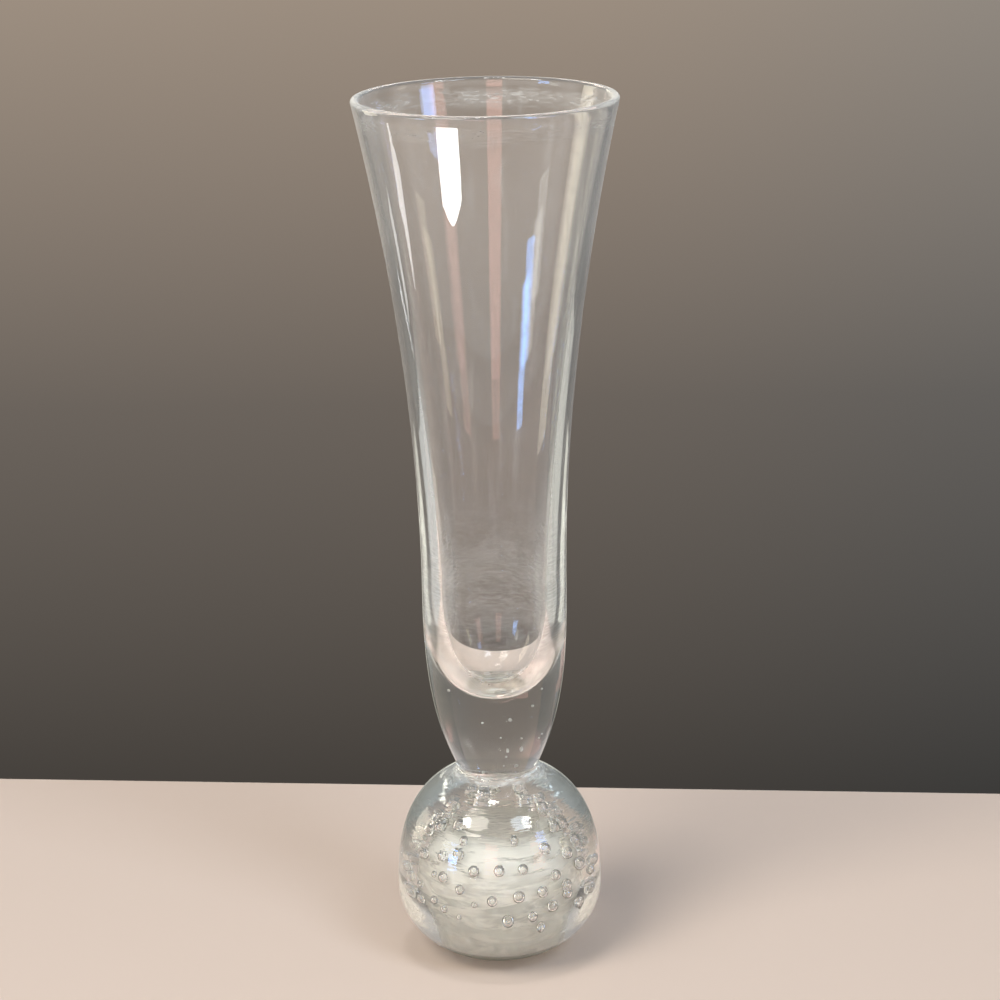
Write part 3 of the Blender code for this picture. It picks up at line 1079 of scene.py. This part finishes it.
def stage_piece(name, points, faces):
    """A flat-sided piece of the stage, and the desk of its finish."""
    mesh = bpy.data.meshes.new(name)
    mesh.from_pydata(points, [], faces)
    material, desk = new_finish(name)
    mesh.materials.append(material)
    item = new_object(name, mesh)
    return item, desk


def add_table(look):
    """Pale table top with a turned back edge."""
    reach = 2.0
    thickness = 0.02
    slope = math.tan(look.edge_turn)
    corners = [
        (-reach, -reach),
        (reach, -reach),
        (reach, look.back_edge + slope * reach),
        (-reach, look.back_edge - slope * reach),
    ]
    top = [(x, y, -FLOOR_DROP) for x, y in corners]
    below = [(x, y, -FLOOR_DROP - thickness) for x, y in corners]
    faces = [(0, 1, 2, 3), (7, 6, 5, 4)]
    faces += [(i, 4 + i, 4 + (i + 1) % 4, (i + 1) % 4) for i in range(4)]
    _, desk = stage_piece("table_top", top + below, faces)
    finish_with(desk, desk.node("ShaderNodeBsdfDiffuse", None, {"Color": (*look.table, 1.0)}))


def add_backdrop(look):
    """Dark backdrop that glows as painted light, growing lighter with its height, and is clear from
    behind.
    """
    distance = 0.42
    half_width = 0.25
    bottom = -0.6
    top = 0.6
    shades_from = -0.13
    shades_to = 0.47
    corners = [
        (-half_width, distance, bottom),
        (half_width, distance, bottom),
        (half_width, distance, top),
        (-half_width, distance, top),
    ]
    backdrop, desk = stage_piece("backdrop", corners, [(0, 1, 2, 3)])
    backdrop.visible_diffuse = False
    backdrop.visible_shadow = False
    side, _, height = desk.split(desk.place())
    stops = [
        (0.0, look.backdrop_foot),
        (0.31, look.backdrop_middle),
        (0.6, look.backdrop_top),
        (1.0, look.backdrop_head),
    ]
    share = desk.node(
        "ShaderNodeMapRange", None, {"Value": height, "From Min": shades_from, "From Max": shades_to}
    )
    shade = desk.node("ShaderNodeValToRGB", {"stops": stops}, {0: share})
    cool = desk.blend(desk.ramp_up(side, 0.02, 0.25), shade, (*look.backdrop_side, 1.0), "MULTIPLY")
    glow = desk.node("ShaderNodeEmission", None, {"Color": cool})
    behind = desk.node("ShaderNodeNewGeometry", None, None, "Backfacing")
    finish_with(desk, desk.cover(behind, glow, desk.node("ShaderNodeBsdfTransparent")))


def add_room(look):
    """Room all round: pale at the height of the vase, dimmer above it and beyond the backdrop."""
    world = bpy.data.worlds.new("room")
    world.use_nodes = True
    world.node_tree.nodes.clear()
    desk = Desk(world.node_tree)
    _, behind, up = desk.split(desk.node("ShaderNodeTexCoord", None, None, "Generated"))
    beside = desk.blend(desk.ramp_up(up, -0.5, -0.2), (*look.room_floor, 1.0), (*look.room_side, 1.0))
    low = desk.blend(desk.ramp_up(behind, -0.1, 0.25), (*look.room_low, 1.0), beside)
    shade = desk.blend(desk.ramp_up(up, 0.1, 0.3), low, (*look.room_high, 1.0))
    light = desk.node("ShaderNodeBackground", None, {"Color": shade, "Strength": look.room_light})
    desk.node("ShaderNodeOutputWorld", None, {"Surface": light})
    bpy.context.scene.world = world


def add_camera(look):
    """Camera at the photograph's viewing angle."""
    data = bpy.data.cameras.new("camera")
    data.sensor_width = 36.0
    data.lens = look.camera_lens
    data.clip_start = 0.01
    camera = new_object("camera", data)
    place = Matrix.Translation((look.camera_side, -look.camera_distance, look.camera_height))
    pitch = Matrix.Rotation(math.pi / 2 - look.camera_pitch, 4, "X")
    camera.matrix_world = place @ pitch @ Matrix.Rotation(look.camera_roll, 4, "Z")
    bpy.context.scene.camera = camera


class VASE_OT_set_stage(bpy.types.Operator):
    """Set the table, backdrop, lights and camera"""

    bl_idname = "vase.set_stage"
    bl_label = "Set the Stage"

    def execute(self, context):
        look = context.scene.stage_look
        add_table(look)
        add_backdrop(look)
        add_room(look)
        for name, row in WINDOWS.items():
            facing_light(name, "ELLIPSE", *row)
        for name, row in STRIPS.items():
            only_reflected(facing_light(name, "RECTANGLE", *row).data)
        for name, row in LOW_STRIPS.items():
            add_low_strip(name, *row)
        add_camera(look)
        context.scene.view_settings.view_transform = "Standard"
        return {"FINISHED"}


class VASE_PT_sidebar(bpy.types.Panel):
    """The vase's operators and settings"""

    bl_idname = "VASE_PT_sidebar"
    bl_label = "Bud Vase"
    bl_space_type = "VIEW_3D"
    bl_region_type = "UI"
    bl_category = "Bud Vase"

    def draw(self, context):
        for maker in OPERATORS:
            self.layout.operator(maker.bl_idname)
        for attribute, group in SETTINGS.items():
            box = self.layout.box()
            box.label(text=group.__doc__)
            for setting in group.__annotations__:
                box.prop(getattr(context.scene, attribute), setting)


OPERATORS = (
    VASE_OT_turn_glass,
    VASE_OT_trap_bubbles,
    VASE_OT_scatter_seeds,
    VASE_OT_fuse_glass,
    VASE_OT_set_stage,
)
SETTINGS = {
    "vase_shape": VaseShape,
    "bubble_layer": BubbleLayer,
    "glass_look": GlassLook,
    "stage_look": StageLook,
}


register_classes, unregister_classes = bpy.utils.register_classes_factory(
    (*SETTINGS.values(), *OPERATORS, VASE_PT_sidebar)
)


def register():
    """Add the settings, operators and panel."""
    register_classes()
    for attribute, group in SETTINGS.items():
        setattr(bpy.types.Scene, attribute, PointerProperty(type=group))


def unregister():
    """Take the settings, operators and panel away."""
    for attribute in SETTINGS:
        delattr(bpy.types.Scene, attribute)
    unregister_classes()


def main():
    """Make the vase and its stage."""
    register()
    bpy.ops.vase.turn_glass()
    bpy.ops.vase.trap_bubbles()
    bpy.ops.vase.scatter_seeds()
    bpy.ops.vase.fuse_glass()
    bpy.ops.vase.set_stage()


if __name__ == "__main__":
    main()
